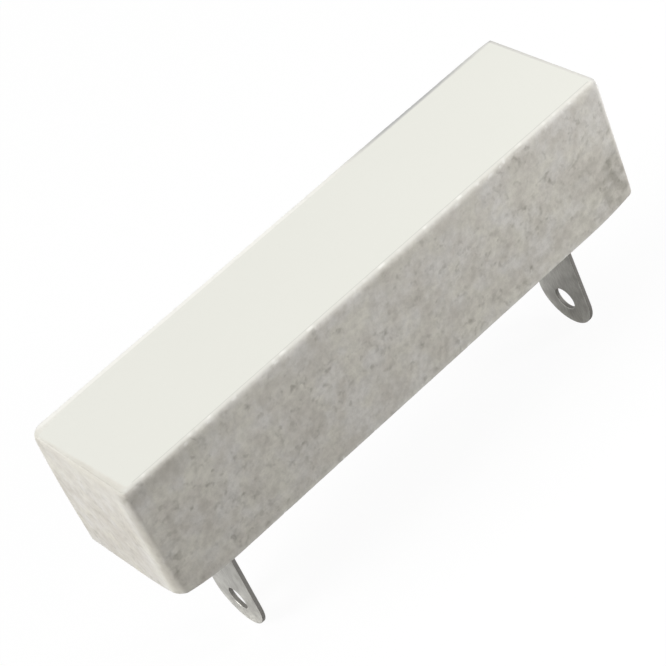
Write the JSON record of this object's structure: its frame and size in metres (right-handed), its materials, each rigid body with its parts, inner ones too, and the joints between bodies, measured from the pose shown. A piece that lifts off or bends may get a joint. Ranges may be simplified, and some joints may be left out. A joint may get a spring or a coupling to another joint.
{
  "type": "power resistor",
  "caption": "Wirewound power resistor: a wound rod potted in an oblong ceramic case, with flat lug terminals below it that have a hole for a wire or a screw.",
  "frame": {"origin": "middle of the case's open rim, in the rim's plane", "axes": "+X along the case, +Z from the open rim to the closed top, so the lugs hang down below z = 0 and lean a little towards -Y"},
  "size_m": [0.075, 0.019, 0.0357],
  "materials": {
    "case_ceramic": "matte, unglazed, with fine pits",
    "cement": "rough, cast",
    "core_ceramic": "matte",
    "resistance_wire": "drawn, dull",
    "cap_steel": "pressed",
    "lug_steel": "tinned, rolled sheet with sheared edges"
  },
  "bodies": {
    "root": {"ceramic_case": "case_ceramic", "cement_fill": "cement", "winding_core": "core_ceramic", "resistance_winding": "resistance_wire", "end_cap_left": "cap_steel", "end_cap_right": "cap_steel", "terminal_lug_left": "lug_steel", "terminal_lug_right": "lug_steel"}
  },
  "joints": []
}
